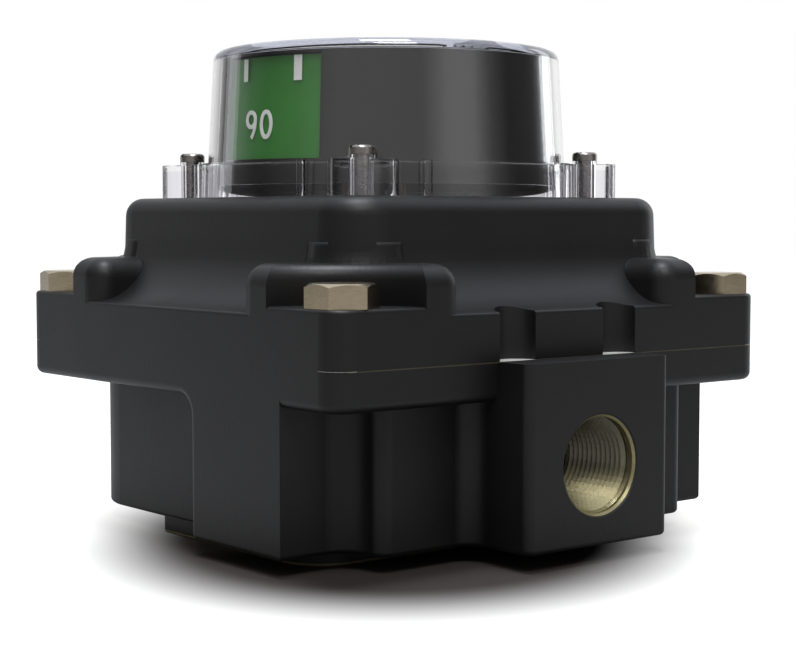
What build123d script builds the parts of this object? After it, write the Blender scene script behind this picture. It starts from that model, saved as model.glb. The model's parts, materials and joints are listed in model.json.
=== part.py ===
from build123d import *
from math import radians, sin, tan
import os

os.makedirs("parts", exist_ok=True)

# Valve limit switch box. Millimetres, +Z up, the shaft on the Z axis and the box standing on z = 0.
# The conduit entries face -Y and +Y, the two legs stand out at -X and +X.

# ---- driving dimensions -------------------------------------------------------------------------
# heights of the two castings
pad_height = 4.7
floor_height = 14.0
bush_boss_top = 25.0
flange_bottom = 44.8
parting_height = 55.6
flange_edge_height = 68.9
ledge_height = 71.0
ear_height = 82.0
cover_top = 100.0
# their outline seen from above
flange_half = 81.2
flange_corner = 7.0
body_half = 62.6
body_corner = 14.5
body_draft = 2.0
body_top_round = 5.5
ear_reach = 38.0
ear_corner = 6.5
ear_round = 6.0
panel_inset = 13.0
rear_corner = 21.0
leg_front = 57.5
leg_rear = 14.0
leg_blend = 6.0
front_half = 58.5
front_wall = 71.0
front_corner = 4.0
front_blend = 8.0
wall = 7.5
edge_round = 2.4
edge_break = 1.0
bottom_round = 1.4
pad_front = 53.0
pad_rear = 23.0
pad_corner = 13.0
pad_edge = 0.8
gap = 0.3
# cavities, bushes and seal between the castings
cavity_corner = 14.0
cover_cavity_half = 54.0
roof_thickness = 8.0
upper_bush_bottom = 82.0
seal_inset = 4.1
seal_corner = 19.0
seal_width = 3.6
seal_depth = 2.5
seal_slack = 0.2
# conduit entries
conduit_height = 26.8
conduit_radius = 13.3
conduit_mouth = 14.3
entry_half_width = 27.0
entry_reach = 12.3
notch_radius = 6.5
notch_spacing = 39.0
plug_inset = 1.0
plug_length = 15.0
plug_socket = 12.0
# cover bolts, M10 hexagon, each in its scallop
bolt_inset = 9.8
bolt_radius = 5.0
bolt_clearance = 0.5
bolt_across_flats = 17.0
bolt_head_height = 6.4
bolt_crown = 0.4
scallop_radius = 35.0
scallop_reach = 5.0
scallop_round = 4.0
# dome
dome_foot_radius = 55.0
dome_top_radius = 53.0
dome_wall = 2.5
dome_flange_radius = 58.0
dome_flange_height = 10.2
dome_rim = 144.4
dome_rim_round = 3.0
dome_crown = 1.5
dome_ceiling = 141.6
dome_screw_spacing = 86.6
dome_lobe = 9.4
lobe_valley = 2.0
rib_angle = 18.0
rib_radius = 1.3
screw_seat_height = 1.2
dome_screw_radius = 2.0
dome_screw_grip = 6.5
dome_screw_head_radius = 3.8
dome_screw_head_height = 2.6
dome_seal_radius = 54.4
dome_seal_width = 2.0
dome_seal_depth = 1.5
# indicator
mask_gap = 0.4
mask_wall = 1.2
mask_roof = 0.8
mask_bottom = 103.7
window_bottom = 110.8
window_angle = 45.0
window_centre = 188.0
rotor_gap = 0.5
rotor_wall = 1.6
rotor_bottom = 106.0
rotor_hub_radius = 9.0
rotor_screw_seat = 130.0
rotor_screw_grip = 12.0
sector_angle = 64.0
sector_thickness = 0.8
# shaft, its bushes, seals and clip
shaft_radius = 6.0
shaft_bottom = 1.5
shaft_shoulder = 107.0
shaft_end = 126.0
tongue_width = 6.0
tongue_height = 6.1
rotor_seat_radius = 5.0
seat_flat = 4.0
bush_radius = 8.5
bush_chamfer = 0.4
running_gap = 0.05
drive_recess_radius = 19.0
drive_recess_depth = 8.6
collar_radius = 8.0
collar_top = 29.0
groove_radius = 4.8
shaft_seal_height = 2.4
lower_seal = 15.5
upper_seal = 90.0
clip_bottom = 7.1
clip_thickness = 1.0
clip_radius = 8.5
# cams and targets
lower_cam = 38.0
upper_cam = 50.0
cam_height = 7.0
cam_hub_radius = 13.0
cam_rim = 2.5
target_radius = 3.0
target_place = 18.5
set_screw_radius = 2.0
# mounting pattern under the box
mount_spacing_x = 50.0
mount_spacing_y = 30.0
mount_hole_radius = 3.0
mount_hole_depth = 10.0
# switch plate and what it carries
plate_height = 30.0
plate_thickness = 2.5
plate_half_x = 52.0
plate_half_y = 42.0
plate_hole = 17.0
plate_screw_x = 46.0
plate_screw_y = 36.0
post_radius = 5.0
plate_screw_grip = 9.0
switch_place = 40.0
switch_length = 22.0
switch_width = 18.0
switch_corner = 1.5
nose_radius = 5.0
nose_length = 3.0
lug_length = 9.0
lug_reach = 3.5
lug_height = 4.0
lug_screw = 12.5
strip_half = 32.0
strip_place = -34.0
strip_width = 13.0
strip_shelf = 7.0
strip_height = 14.0
strip_screw_place = 27.5
pole_count = 6
pole_pitch = 8.0
pole_width = 7.0
lead_radius = 2.0
lead_height = 37.0
# small screws, their rounded heads slotted
head_crown_share = 0.4
slot_width_share = 1 / 3
slot_depth_share = 0.4
small_screw_radius = 2.0
small_head_radius = 4.0
small_head_height = 2.6
fine_screw_radius = 1.5
fine_head_radius = 2.7
fine_head_height = 2.0
# earth screws, inside on a post and outside on the wall
earth_place_x = 30.0
earth_place_y = 50.0
earth_post_top = 22.0
earth_grip = 8.0
outer_earth_y = 30.0
outer_earth_z = 26.0
outer_earth_radius = 2.5
outer_earth_grip = 5.5
outer_earth_flats = 8.0
outer_earth_head = 3.5

# ---- derived dimensions -------------------------------------------------------------------------
STAND = (Align.CENTER, Align.CENTER, Align.MIN)
bolt_place = flange_half - bolt_inset
scallop_centre = flange_half + scallop_reach
skirt_radius = flange_half - body_half
panel_half = flange_half - panel_inset
cavity_half = panel_half - wall
seal_half = panel_half - seal_inset
entry_face = flange_half + entry_reach
dome_place = dome_screw_spacing / 2
flange_top_dome = cover_top + dome_flange_height
screw_seat = flange_top_dome + screw_seat_height
plate_top = plate_height + plate_thickness
rotor_top = dome_ceiling - mask_roof - rotor_gap
bolt_turns = [33.0, 57.0, 45.0, 18.0]
earth_post = (earth_place_x, earth_place_y)
outer_earth = (outer_earth_y, outer_earth_z)
pole_places = [pole_pitch * (pole - (pole_count - 1) / 2) for pole in range(pole_count)]
strip_screw_places = [(x, strip_place) for x in (-strip_screw_place, strip_screw_place)]
switch_screw_places = [(x, y) for x in (-switch_place, switch_place) for y in (-lug_screw, lug_screw)]
plate_posts = [(x, y) for x in (-plate_screw_x, plate_screw_x) for y in (-plate_screw_y, plate_screw_y)]
mount_places = [(x, y, 0) for x in (-mount_spacing_x / 2, mount_spacing_x / 2)
                for y in (-mount_spacing_y / 2, mount_spacing_y / 2)]


def save(builder, name):
    """Label one finished piece and write it to its own file."""
    builder.part.label = name
    export_step(builder.part, "parts/" + name + ".step")


def four(place):
    """The four corner positions of a square pattern."""
    return [(-place, -place), (place, -place), (place, place), (-place, place)]


def dome_inner(height):
    """Inner radius of the dome wall at a height, following its draft."""
    slope = (dome_foot_radius - dome_top_radius) / (dome_rim - flange_top_dome)
    return dome_foot_radius - dome_wall - slope * (height - flange_top_dome)


def mask_outer(height):
    """Outer radius of the mask, parallel to the dome wall."""
    return dome_inner(height) - mask_gap


def sector_inner(height):
    """Inner radius of the coloured sectors, parallel to the mask."""
    return mask_outer(height) - mask_wall - rotor_gap - sector_thickness


def drum_outer(height):
    """Outer radius of the bare drum under its coloured sectors."""
    return sector_inner(height) - seal_slack


# ---- base housing -------------------------------------------------------------------------------
# Lower casting: mounting pad, body with a leg at each side, conduit entries front and rear, and the
# square flange that the cover bolts pull down on. The legs stand flush with the flange, and behind
# them its rounded lower edge turns down along the leg.
left_half = [
    (-entry_half_width, -entry_face),
    (-entry_half_width, -front_wall),
    (-front_half, -front_wall),
    (-front_half, -leg_front),
    (-flange_half, -leg_front),
    (-flange_half, -leg_rear),
    (-panel_half, -leg_rear),
    (-panel_half, panel_half),
    (-entry_half_width, panel_half),
    (-entry_half_width, entry_face),
]
right_half = [(-x, y) for x, y in reversed(left_half)]


def near(value, target):
    """Whether a coordinate, taken without its sign, is the target one."""
    return abs(abs(value) - target) < gap


with BuildPart() as mounting_pad:
    with BuildSketch():
        with Locations((0, (pad_rear - pad_front) / 2)):
            Rectangle(2 * (panel_half - gap), pad_rear + pad_front)
        fillet([v for v in vertices() if v.Y < 0], pad_corner)
        fillet([v for v in vertices() if v.Y > 0], edge_round)
    extrude(amount=pad_height + bottom_round)
    fillet(mounting_pad.faces().sort_by(Axis.Z)[0].edges(), pad_edge)

with BuildPart() as lower_body:
    with BuildSketch(Plane.XY.offset(pad_height)):
        with BuildLine():
            Polyline(*left_half, *right_half, close=True)
        make_face()
        fillet([v for v in vertices() if near(v.X, front_half) and near(v.Y, leg_front)], front_blend)
        fillet([v for v in vertices() if near(v.X, front_half) and near(v.Y, front_wall)], front_corner)
        fillet([v for v in vertices() if near(v.X, panel_half) and v.Y > 0], rear_corner)
        fillet([v for v in vertices() if near(v.Y, entry_face)], edge_round)
        fillet([v for v in vertices() if near(v.X, entry_half_width) and abs(v.Y) < front_wall + 1],
               leg_blend)
    extrude(amount=flange_bottom - pad_height)

with BuildPart() as leg_blends:
    for side in (-1, 1):
        with BuildSketch(Plane.YZ.offset(side * (flange_half + panel_half) / 2)):
            with Locations((-leg_rear, flange_bottom)):
                Rectangle(leg_blend, leg_blend, align=(Align.MIN, Align.MAX))
            with Locations((-leg_rear + leg_blend, flange_bottom - leg_blend)):
                Circle(leg_blend, mode=Mode.SUBTRACT)
        extrude(amount=(flange_half - panel_half) / 2, both=True)

with BuildPart() as flange_front:
    with BuildSketch(Plane.XY.offset(flange_bottom)):
        RectangleRounded(2 * flange_half, 2 * flange_half, flange_corner)
        with Locations((0, -leg_front)):
            Rectangle(3 * flange_half, 2 * flange_half, align=(Align.CENTER, Align.MIN),
                      mode=Mode.SUBTRACT)
    extrude(amount=parting_height - flange_bottom)
    under = flange_front.faces().sort_by(Axis.Z)[0].edges()
    fillet([edge for edge in under if edge.center().Y < -leg_front - gap], edge_round)

with BuildPart() as base_housing:
    with BuildSketch(Plane.XY.offset(flange_bottom)):
        RectangleRounded(2 * flange_half, 2 * flange_half, flange_corner)
        with Locations((0, -leg_front)):
            Rectangle(3 * flange_half, 2 * flange_half, align=(Align.CENTER, Align.MAX),
                      mode=Mode.SUBTRACT)
    extrude(amount=parting_height - flange_bottom)
    add(lower_body.part)
    add(leg_blends.part)
    # one rounded edge runs round the flange and down behind both legs
    rounded = []
    for edge in base_housing.edges():
        box = edge.bounding_box()
        middle = edge.center()
        on_side = near(min(abs(box.min.X), abs(box.max.X)), flange_half)
        on_rear = near(box.min.Y, flange_half) and abs(middle.X) > entry_half_width
        on_corner = near(max(abs(box.min.X), abs(box.max.X)), flange_half) and near(box.max.Y, flange_half)
        under_flange = near(box.min.Z, flange_bottom) and near(box.max.Z, flange_bottom)
        if under_flange and middle.Y > -leg_rear and (on_side or on_rear or on_corner):
            rounded.append(edge)
        behind_leg = box.min.Y > -leg_rear - gap and box.max.Y < leg_blend - leg_rear + gap
        if on_side and behind_leg and box.max.Z < flange_bottom + gap:
            rounded.append(edge)
    fillet(rounded, edge_round)
    fillet(base_housing.faces().sort_by(Axis.Z)[0].edges(), bottom_round)
    add(flange_front.part)
    add(mounting_pad.part)
    # entry bosses run up to the parting face
    for side in (-1, 1):
        with BuildSketch(Plane.XY.offset(flange_bottom - edge_round)):
            with Locations((0, side * (entry_face + front_wall) / 2)):
                Rectangle(2 * entry_half_width, entry_face - front_wall)
            fillet([v for v in vertices() if near(v.Y, entry_face)], edge_round)
        extrude(amount=parting_height - flange_bottom + edge_round)
    # cavity
    with BuildSketch(Plane.XY.offset(floor_height)):
        RectangleRounded(2 * cavity_half, 2 * cavity_half, cavity_corner)
    extrude(amount=parting_height, mode=Mode.SUBTRACT)
    # bush boss, plate posts and earth post standing on the floor
    with BuildSketch(Plane.XY.offset(floor_height - 1)):
        Circle(bush_radius + wall)
    extrude(amount=bush_boss_top - floor_height + 1)
    with BuildSketch(Plane.XY.offset(floor_height - 1)):
        with Locations(*plate_posts):
            Circle(post_radius)
    extrude(amount=plate_height - floor_height + 1)
    with BuildSketch(Plane.XY.offset(floor_height - 1)):
        with Locations(earth_post):
            Circle(post_radius)
    extrude(amount=earth_post_top - floor_height + 1)
    # shaft bore and drive recess
    Cylinder(drive_recess_radius, drive_recess_depth, align=STAND, mode=Mode.SUBTRACT)
    Cylinder(bush_radius, bush_boss_top + 1, align=STAND, mode=Mode.SUBTRACT)
    # tapped holes: bracket mounting, cover bolts, switch plate, earth screws
    with Locations(*mount_places):
        Cylinder(mount_hole_radius, mount_hole_depth, align=STAND, mode=Mode.SUBTRACT)
    with Locations(*[(x, y, flange_bottom) for x, y in four(bolt_place)]):
        Cylinder(bolt_radius, parting_height, align=STAND, mode=Mode.SUBTRACT)
    with Locations(*[(x, y, plate_height - plate_screw_grip) for x, y in plate_posts]):
        Cylinder(small_screw_radius, plate_height, align=STAND, mode=Mode.SUBTRACT)
    with Locations((*earth_post, earth_post_top - earth_grip)):
        Cylinder(small_screw_radius, floor_height, align=STAND, mode=Mode.SUBTRACT)
    with Locations(Location((panel_half + 1, *outer_earth), (0, -90, 0))):
        Cylinder(outer_earth_radius, outer_earth_grip + 1, align=STAND, mode=Mode.SUBTRACT)
    # conduit bores, each with a small mouth chamfer
    for side in (-1, 1):
        with Locations(Location((0, side * entry_face, conduit_height), (90 * side, 0, 0))):
            Cylinder(conduit_radius, entry_face - cavity_half + 1, align=STAND, mode=Mode.SUBTRACT)
            Cone(conduit_mouth, conduit_radius, conduit_mouth - conduit_radius,
                 align=STAND, mode=Mode.SUBTRACT)
    # groove of the cover seal
    with BuildSketch(Plane.XY.offset(parting_height - seal_depth)):
        RectangleRounded(2 * seal_half + seal_width, 2 * seal_half + seal_width, seal_corner)
        RectangleRounded(2 * seal_half - seal_width, 2 * seal_half - seal_width,
                         seal_corner - seal_width, mode=Mode.SUBTRACT)
    extrude(amount=seal_depth + 1, mode=Mode.SUBTRACT)
save(base_housing, "base_housing")

# ---- cover --------------------------------------------------------------------------------------
# Upper casting. A concave skirt rises from the edge of the square flange to the drafted body. At
# each corner an ear with a rolled rim stands round the bolt, its ledge open only to the corner.
with BuildPart() as ears:
    with BuildSketch(Plane.XY.offset(parting_height)):
        with Locations(*four((ear_reach + flange_half) / 2)):
            Rectangle(flange_half - ear_reach, flange_half - ear_reach)
        fillet([v for v in vertices() if near(v.X, ear_reach) or near(v.Y, ear_reach)], ear_corner)
        fillet([v for v in vertices() if near(v.X, flange_half) and near(v.Y, flange_half)],
               flange_corner)
    extrude(amount=ear_height - parting_height)
    fillet(ears.faces().filter_by(Axis.Z).group_by(Axis.Z)[-1].edges(), ear_round)
    # one long scallop at each corner, its upper rim rolled over
    for x, y in four(scallop_centre):
        with BuildSketch(Plane((x, y, 0), x_dir=(1, 0, 0), z_dir=(0, -1, 0))):
            with BuildLine():
                rise = ear_height - scallop_round
                turn = scallop_round * sin(radians(45))
                rim = scallop_radius + scallop_round
                flare = ThreePointArc(
                    (scallop_radius, rise),
                    (rim - turn, rise + turn),
                    (rim, ear_height),
                )
                Polyline(flare @ 1, (rim, ear_height + 1), (0, ear_height + 1),
                         (0, ledge_height), (scallop_radius, ledge_height), flare @ 0)
            make_face()
        revolve(axis=Axis((x, y, 0), (0, 0, 1)), mode=Mode.SUBTRACT)
    ledges = ears.faces().filter_by(lambda face: near(face.center().Z, ledge_height)).edges()
    fillet([edge for edge in ledges if max(abs(edge.center().X), abs(edge.center().Y)) > bolt_place],
           edge_break)

with BuildPart() as upper_body:
    foot_half = body_half + (cover_top - flange_edge_height) * tan(radians(body_draft)) / 2
    with BuildSketch(Plane.XY.offset(flange_edge_height - edge_round)):
        RectangleRounded(2 * foot_half, 2 * foot_half, body_corner)
    extrude(amount=cover_top - flange_edge_height + edge_round, taper=body_draft)
    fillet(upper_body.faces().sort_by(Axis.Z)[-1].edges(), body_top_round)

with BuildPart() as cover:
    with BuildSketch(Plane.XY.offset(parting_height)):
        RectangleRounded(2 * flange_half, 2 * flange_half, flange_corner)
    extrude(amount=flange_edge_height - parting_height)
    fillet(cover.faces().sort_by(Axis.Z)[-1].edges(), edge_break)
    # concave skirt, once along each pair of sides
    skirt_top = flange_edge_height + skirt_radius
    for plane in (Plane.XZ, Plane.YZ):
        with BuildSketch(plane):
            with BuildLine():
                low = flange_edge_height - 2 * edge_break
                turn = skirt_radius * sin(radians(45))
                right_arc = ThreePointArc(
                    (flange_half, flange_edge_height),
                    (flange_half - turn, skirt_top - turn),
                    (body_half, skirt_top),
                )
                left_arc = ThreePointArc(
                    (-body_half, skirt_top),
                    (turn - flange_half, skirt_top - turn),
                    (-flange_half, flange_edge_height),
                )
                Line(right_arc @ 1, left_arc @ 0)
                Polyline(left_arc @ 1, (-flange_half, low), (flange_half, low), right_arc @ 0)
            make_face()
            fillet([v for v in vertices() if near(v.Y, flange_edge_height)], edge_break)
        extrude(amount=ear_reach + ear_corner, both=True)
    # the scallops cut through the skirt as well, so the ears go on last
    with Locations(*[(x, y, ledge_height) for x, y in four(scallop_centre)]):
        Cylinder(scallop_radius, ear_height, align=STAND, mode=Mode.SUBTRACT)
    add(ears.part)
    add(upper_body.part)
    # pry notches above the entries
    with Locations(*[(x, y, parting_height) for x in (-notch_spacing / 2, notch_spacing / 2)
                     for y in (-flange_half, flange_half)]):
        Cylinder(notch_radius, ear_height - parting_height, align=STAND, mode=Mode.SUBTRACT)
    # cavity with the bush boss left hanging from its roof
    with BuildSketch(Plane.XY.offset(parting_height)):
        RectangleRounded(2 * cover_cavity_half, 2 * cover_cavity_half, cavity_corner)
    extrude(amount=cover_top - roof_thickness - parting_height, mode=Mode.SUBTRACT)
    with BuildSketch(Plane.XY.offset(upper_bush_bottom)):
        Circle(bush_radius + wall)
    extrude(amount=cover_top - roof_thickness - upper_bush_bottom + 1)
    with Locations((0, 0, upper_bush_bottom)):
        Cylinder(bush_radius, cover_top, align=STAND, mode=Mode.SUBTRACT)
    # bolt clearance holes, dome screw holes, dome seal groove
    with Locations(*[(x, y, parting_height) for x, y in four(bolt_place)]):
        Cylinder(bolt_radius + bolt_clearance, ear_height, align=STAND, mode=Mode.SUBTRACT)
    with Locations(*[(x, y, cover_top - dome_screw_grip) for x, y in four(dome_place)]):
        Cylinder(dome_screw_radius, cover_top, align=STAND, mode=Mode.SUBTRACT)
    with BuildSketch(Plane.XY.offset(cover_top - dome_seal_depth)):
        Circle(dome_seal_radius + dome_seal_width / 2)
        Circle(dome_seal_radius - dome_seal_width / 2, mode=Mode.SUBTRACT)
    extrude(amount=cover_top, mode=Mode.SUBTRACT)
save(cover, "cover")

# ---- cover seal ---------------------------------------------------------------------------------
# Rubber cord pressed flat between the two castings.
with BuildPart() as cover_seal:
    with BuildSketch(Plane.XY.offset(parting_height - seal_depth)):
        side = 2 * seal_half + seal_width - seal_slack
        RectangleRounded(side, side, seal_corner - seal_slack / 2)
        side = 2 * seal_half - seal_width + seal_slack
        RectangleRounded(side, side, seal_corner - seal_width + seal_slack / 2, mode=Mode.SUBTRACT)
    extrude(amount=seal_depth)
    fillet(cover_seal.faces().filter_by(Axis.Z).edges(), seal_depth / 3)
save(cover_seal, "cover_seal")

# ---- cover bolts --------------------------------------------------------------------------------
# Four hexagon bolts through the cover into the base flange, each stopped at its own angle.
with BuildPart() as bolt:
    with BuildSketch(Plane.XY.offset(ledge_height)):
        RegularPolygon(bolt_across_flats / 2, 6, major_radius=False)
    extrude(amount=bolt_head_height)
    with BuildSketch(Plane.XZ):
        with BuildLine():
            head_top = ledge_height + bolt_head_height
            crown = bolt_across_flats / 2 - bolt_crown
            reach = bolt_across_flats
            drop = (reach - crown) * tan(radians(30))
            Polyline((0, ledge_height), (reach, ledge_height), (reach, head_top - drop),
                     (crown, head_top), (0, head_top), close=True)
        make_face()
    revolve(axis=Axis.Z, mode=Mode.INTERSECT)
    with Locations((0, 0, flange_bottom + edge_round)):
        Cylinder(bolt_radius, ledge_height - flange_bottom - edge_round, align=STAND)

with BuildPart() as cover_bolts:
    for place, turn in zip(four(bolt_place), bolt_turns):
        with Locations(Location((*place, 0), (0, 0, turn))):
            add(bolt.part)
save(cover_bolts, "cover_bolts")

# ---- bushes -------------------------------------------------------------------------------------
for name, low, high in (
    ("lower_bush", drive_recess_depth, bush_boss_top),
    ("upper_bush", upper_bush_bottom, cover_top),
):
    with BuildPart() as bush:
        with BuildSketch(Plane.XY.offset(low)):
            Circle(bush_radius)
            Circle(shaft_radius + running_gap, mode=Mode.SUBTRACT)
        extrude(amount=high - low)
        inner_rims = bush.edges().filter_by(GeomType.CIRCLE).sort_by(SortBy.RADIUS)[:2]
        chamfer(inner_rims, bush_chamfer)
    save(bush, name)

# ---- shaft --------------------------------------------------------------------------------------
# One turned piece from the drive tongue under the box to the indicator seat above it.
with BuildPart() as shaft:
    with BuildSketch(Plane.XZ):
        Polygon(
            (0, shaft_bottom),
            (shaft_radius, shaft_bottom),
            (shaft_radius, clip_bottom),
            (groove_radius, clip_bottom),
            (groove_radius, clip_bottom + clip_thickness),
            (shaft_radius, clip_bottom + clip_thickness),
            (shaft_radius, lower_seal),
            (groove_radius, lower_seal),
            (groove_radius, lower_seal + shaft_seal_height),
            (shaft_radius, lower_seal + shaft_seal_height),
            (shaft_radius, bush_boss_top + 2 * running_gap),
            (collar_radius, bush_boss_top + 2 * running_gap),
            (collar_radius, collar_top),
            (shaft_radius, collar_top),
            (shaft_radius, upper_seal),
            (groove_radius, upper_seal),
            (groove_radius, upper_seal + shaft_seal_height),
            (shaft_radius, upper_seal + shaft_seal_height),
            (shaft_radius, shaft_shoulder),
            (rotor_seat_radius, shaft_shoulder),
            (rotor_seat_radius, shaft_end),
            (0, shaft_end),
            align=None,
        )
    revolve(axis=Axis.Z)
    # flats of the drive tongue
    for side in (-1, 1):
        with Locations((side * (tongue_width / 2 + shaft_radius), 0, 0)):
            Box(2 * shaft_radius, 3 * shaft_radius, tongue_height, align=STAND, mode=Mode.SUBTRACT)
    # driving flat for the indicator and its tapped hole
    with Locations((seat_flat, 0, shaft_shoulder)):
        Box(shaft_radius, 3 * shaft_radius, shaft_end, align=(Align.MIN, Align.CENTER, Align.MIN),
            mode=Mode.SUBTRACT)
    with Locations((0, 0, shaft_end - rotor_screw_grip)):
        Cylinder(small_screw_radius, shaft_end, align=STAND, mode=Mode.SUBTRACT)
save(shaft, "shaft")

# ---- shaft seals and retaining clip -------------------------------------------------------------
for name, low in (("lower_shaft_seal", lower_seal), ("upper_shaft_seal", upper_seal)):
    with BuildPart() as shaft_seal:
        with BuildSketch(Plane.XZ):
            middle = (groove_radius + shaft_radius) / 2
            with Locations((middle, low + shaft_seal_height / 2)):
                RectangleRounded(shaft_radius - groove_radius, shaft_seal_height - seal_slack, gap)
        revolve(axis=Axis.Z)
    save(shaft_seal, name)

with BuildPart() as shaft_clip:
    with BuildSketch(Plane.XY.offset(clip_bottom)):
        Circle(clip_radius)
        Circle(groove_radius, mode=Mode.SUBTRACT)
        with Locations((0, clip_radius)):
            Rectangle(groove_radius, 2 * clip_radius, mode=Mode.SUBTRACT)
    extrude(amount=clip_thickness)
save(shaft_clip, "shaft_clip")

# ---- target cams --------------------------------------------------------------------------------
# Two clamped cams carry a steel target each past their switches, a quarter turn apart.
for name, low, angle in (("open", lower_cam, 180), ("closed", upper_cam, 90)):
    with BuildPart() as cam:
        with BuildSketch(Plane.XY.offset(low)):
            with BuildSketch(mode=Mode.PRIVATE) as arm:
                Circle(cam_hub_radius)
                with Locations((target_place, 0)):
                    Circle(target_radius + cam_rim)
                make_hull()
            add(arm.sketch.rotate(Axis.Z, angle))
            Circle(shaft_radius, mode=Mode.SUBTRACT)
            with PolarLocations(target_place, 1, start_angle=angle):
                Circle(target_radius, mode=Mode.SUBTRACT)
        extrude(amount=cam_height)
        with Locations(Location((0, 0, low + cam_height / 2), (0, 90, angle + 180))):
            Cylinder(set_screw_radius, 2 * cam_hub_radius, align=STAND, mode=Mode.SUBTRACT)
    save(cam, name + "_cam")

    with BuildPart() as target:
        with PolarLocations(target_place, 1, start_angle=angle):
            with Locations((0, 0, low)):
                Cylinder(target_radius, cam_height, align=STAND)
    save(target, name + "_target")

with BuildPart() as cam_set_screws:
    for low, angle in ((lower_cam, 180), (upper_cam, 90)):
        spot = Location((0, 0, low + cam_height / 2), (0, 90, angle + 180))
        with Locations(spot * Location((0, 0, shaft_radius))):
            Cylinder(set_screw_radius, cam_hub_radius - shaft_radius, align=STAND)
save(cam_set_screws, "cam_set_screws")

# ---- switch plate -------------------------------------------------------------------------------
with BuildPart() as switch_plate:
    with BuildSketch(Plane.XY.offset(plate_height)):
        RectangleRounded(2 * plate_half_x, 2 * plate_half_y, post_radius)
        Circle(plate_hole, mode=Mode.SUBTRACT)
        with Locations(*plate_posts):
            Circle(small_screw_radius + gap, mode=Mode.SUBTRACT)
        with Locations(*switch_screw_places, *strip_screw_places):
            Circle(fine_screw_radius, mode=Mode.SUBTRACT)
    extrude(amount=plate_thickness)
save(switch_plate, "switch_plate")


def pan_screws(places, seat, radius, grip, head_radius, head_height):
    """Screws with rounded heads whose shanks run down from the seat height."""
    with BuildPart() as screw:
        with Locations((0, 0, seat)):
            Cylinder(head_radius, head_height, align=STAND)
        fillet(screw.faces().sort_by(Axis.Z)[-1].edges(), head_height * head_crown_share)
        with Locations((0, 0, seat - grip)):
            Cylinder(radius, grip, align=STAND)
        with Locations((0, 0, seat + head_height * (1 - slot_depth_share))):
            Box(2 * head_radius, head_height * slot_width_share, head_height, align=STAND,
                mode=Mode.SUBTRACT)
    with BuildPart() as group:
        for place in places:
            with Locations((*place, 0)):
                add(screw.part)
    return group


save(pan_screws(plate_posts, plate_top, small_screw_radius, plate_thickness + plate_screw_grip,
                small_head_radius, small_head_height), "switch_plate_screws")

# ---- switches -----------------------------------------------------------------------------------
# Sealed proximity switches facing the cams, one at each cam height, with a pair of foot lugs.
for name, side, height in (("open_switch", -1, lower_cam), ("closed_switch", 1, upper_cam)):
    nose = height + cam_height / 2
    with BuildPart() as switch:
        with Locations((side * switch_place, 0, plate_top)):
            Box(switch_length, switch_width, nose + nose_radius + 1 - plate_top, align=STAND)
        fillet(switch.edges().filter_by(Axis.Z), switch_corner)
        fillet(switch.faces().sort_by(Axis.Z)[-1].edges(), edge_break)
        with Locations((side * switch_place, 0, plate_top)):
            Box(lug_length, switch_width + 4 * lug_reach, lug_height, align=STAND)
        face = switch_place - switch_length / 2
        with Locations(Location((side * face, 0, nose), (0, -90 * side, 0))):
            Cylinder(nose_radius, nose_length, align=STAND)
        with Locations(*[(side * switch_place, y, 0) for y in (-lug_screw, lug_screw)]):
            Cylinder(fine_screw_radius + gap, 2 * plate_top, align=STAND, mode=Mode.SUBTRACT)
    save(switch, name)

save(pan_screws(switch_screw_places, plate_top + lug_height, fine_screw_radius,
                lug_height + plate_thickness, fine_head_radius, fine_head_height),
     "switch_screws")

# ---- terminal strip -----------------------------------------------------------------------------
with BuildPart() as terminal_strip:
    with BuildSketch(Plane.YZ.offset(-strip_half)):
        with Locations((strip_place, plate_top)):
            Rectangle(strip_width, strip_shelf, align=(Align.CENTER, Align.MIN))
            Rectangle(strip_width / 2, strip_height, align=(Align.CENTER, Align.MIN))
    extrude(amount=2 * strip_half)
    # barriers between the poles leave one open cell for each terminal screw
    with Locations(*[(x, strip_place, plate_top + strip_shelf) for x in pole_places]):
        Box(pole_width, strip_width, strip_height, align=STAND, mode=Mode.SUBTRACT)
    with Locations(*[(x, strip_place, plate_top) for x in pole_places]):
        Cylinder(fine_screw_radius, strip_height, align=STAND, mode=Mode.SUBTRACT)
    with Locations(*[(x, y, plate_top) for x, y in strip_screw_places]):
        Cylinder(fine_screw_radius + gap, strip_height, align=STAND, mode=Mode.SUBTRACT)
        with Locations((0, 0, strip_shelf)):
            Cylinder(fine_head_radius + gap, strip_height, align=STAND, mode=Mode.SUBTRACT)
save(terminal_strip, "terminal_strip")

save(pan_screws([(x, strip_place) for x in pole_places], plate_top + strip_shelf,
                fine_screw_radius, strip_shelf - 1, fine_head_radius, fine_head_height),
     "terminal_screws")
save(pan_screws(strip_screw_places, plate_top + strip_shelf, fine_screw_radius,
                strip_shelf + plate_thickness, fine_head_radius, fine_head_height),
     "terminal_strip_screws")

# ---- switch leads -------------------------------------------------------------------------------
for name, side, height in (("open_switch_lead", -1, lower_cam), ("closed_switch_lead", 1, upper_cam)):
    start_y = -switch_width / 2
    start_x = side * (switch_place + lug_length / 2 + lead_radius)
    with BuildPart() as lead:
        with BuildLine():
            Spline(
                (start_x, start_y, lead_height),
                (start_x, start_y - 3 * lead_radius, lead_height),
                (side * (strip_half + 4 * lead_radius), strip_place, lead_height),
                (side * strip_half, strip_place, lead_height),
                tangents=((0, -1, 0), (-side, 0, 0)),
            )
        with BuildSketch(Plane((start_x, start_y, lead_height), z_dir=(0, -1, 0))):
            Circle(lead_radius)
        sweep()
    save(lead, name)

# ---- earth screws -------------------------------------------------------------------------------
save(pan_screws([earth_post], earth_post_top, small_screw_radius, earth_grip - 1,
                small_head_radius, small_head_height), "inner_earth_screw")

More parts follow.
